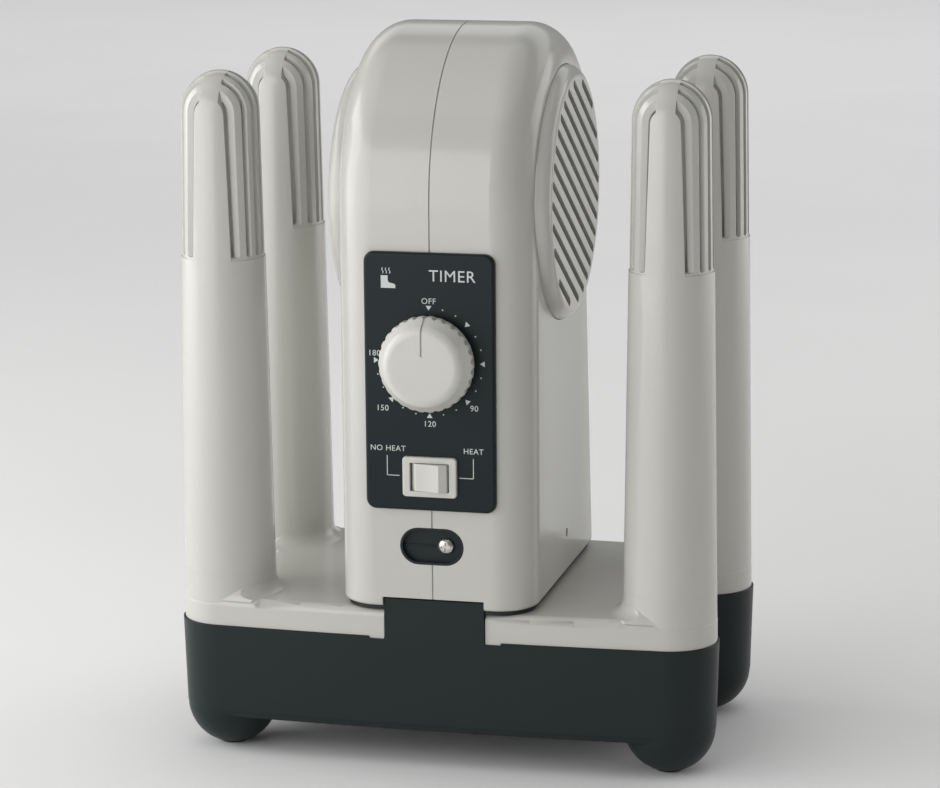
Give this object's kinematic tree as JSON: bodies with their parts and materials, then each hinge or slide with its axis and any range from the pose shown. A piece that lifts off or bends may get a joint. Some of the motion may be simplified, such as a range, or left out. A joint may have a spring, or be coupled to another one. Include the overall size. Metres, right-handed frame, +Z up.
{
  "type": "boot dryer",
  "caption": "Free-standing boot dryer: a fan and heater tower on a hollow base blows warm air up through slotted round tubes, with a timer knob and a heat rocker switch.",
  "frame": {"origin": "bottom centre of the object, on the surface that the rubber feet stand on", "axes": "+Z up; the control panel faces -Y; +X is to the right of a person who faces the panel"},
  "size_m": [0.304, 0.2216, 0.4025],
  "materials": {
    "housing_plastic": "glossy off-white moulded plastic",
    "base_plastic": "dark green-grey moulded plastic with a satin finish",
    "panel_plastic": "dark satin control panel with white printed marks",
    "control_plastic": "off-white moulded control plastic",
    "rubber_black": "matt black rubber",
    "screw_steel": "bright zinc-plated steel",
    "dark_inner": "plain black moulded plastic",
    "terminal_white": "plain white terminal plastic",
    "brass_blade": "bright brass",
    "duct_metal": "plain sheet metal",
    "mica_board": "pale mica board",
    "heating_wire": "dull resistance ribbon",
    "lamination": "stacked steel laminations",
    "winding": "varnished copper winding with tape",
    "motor_steel": "plain ground steel"
  },
  "bodies": {
    "housing": {"base_shell": "base_plastic", "rubber_feet": "rubber_black", "deck": "housing_plastic", "deck_screws": "screw_steel", "cord_gland": "rubber_black", "cord_clamp": "dark_inner", "terminal_block": "terminal_white", "tower_left_shell": "housing_plastic", "tower_right_shell": "housing_plastic", "tower_gasket": "rubber_black", "tower_base_plate": "dark_inner", "plate_screws": "screw_steel", "tower_screws": "screw_steel", "recess_cup": "base_plastic", "clamp_screw": "screw_steel", "right_intake_grille": "housing_plastic", "left_intake_grille": "housing_plastic", "control_panel": "panel_plastic", "timer_body": "dark_inner", "timer_screws": "screw_steel", "switch_frame": "control_plastic", "switch_terminals": "brass_blade", "motor_stator": "lamination", "motor_coil": "winding", "motor_brackets": "duct_metal", "motor_bolts": "screw_steel", "motor_bushes": "brass_blade", "blower_housing_left": "dark_inner", "blower_housing_right": "dark_inner", "heater_duct": "duct_metal", "heater_frame": "mica_board", "heating_ribbon": "heating_wire", "thermal_cutout": "dark_inner", "front_left_tube": "housing_plastic", "front_right_tube": "housing_plastic", "rear_left_tube": "housing_plastic", "rear_right_tube": "housing_plastic"},
    "timer_dial": {"timer_knob": "control_plastic", "timer_shaft": "motor_steel"},
    "heat_rocker": {"rocker_button": "control_plastic"},
    "blower": {"blower_wheel": "dark_inner", "motor_shaft": "motor_steel", "motor_rotor": "lamination"}
  },
  "joints": [
    {"name": "timer_turn", "type": "hinge", "parent": "housing", "child": "timer_dial", "pos_m": [0, -0.0938, 0.2295], "axis": [0, 1, 0], "range_deg": [0, 270]},
    {"name": "rocker_tip", "type": "hinge", "parent": "housing", "child": "heat_rocker", "pos_m": [0, -0.0938, 0.1665], "axis": [0, 0, 1], "range_deg": [0, 22]},
    {"name": "blower_spin", "type": "hinge", "parent": "housing", "child": "blower", "pos_m": [0, 0, 0.3115], "axis": [1, 0, 0], "continuous": true}
  ]
}
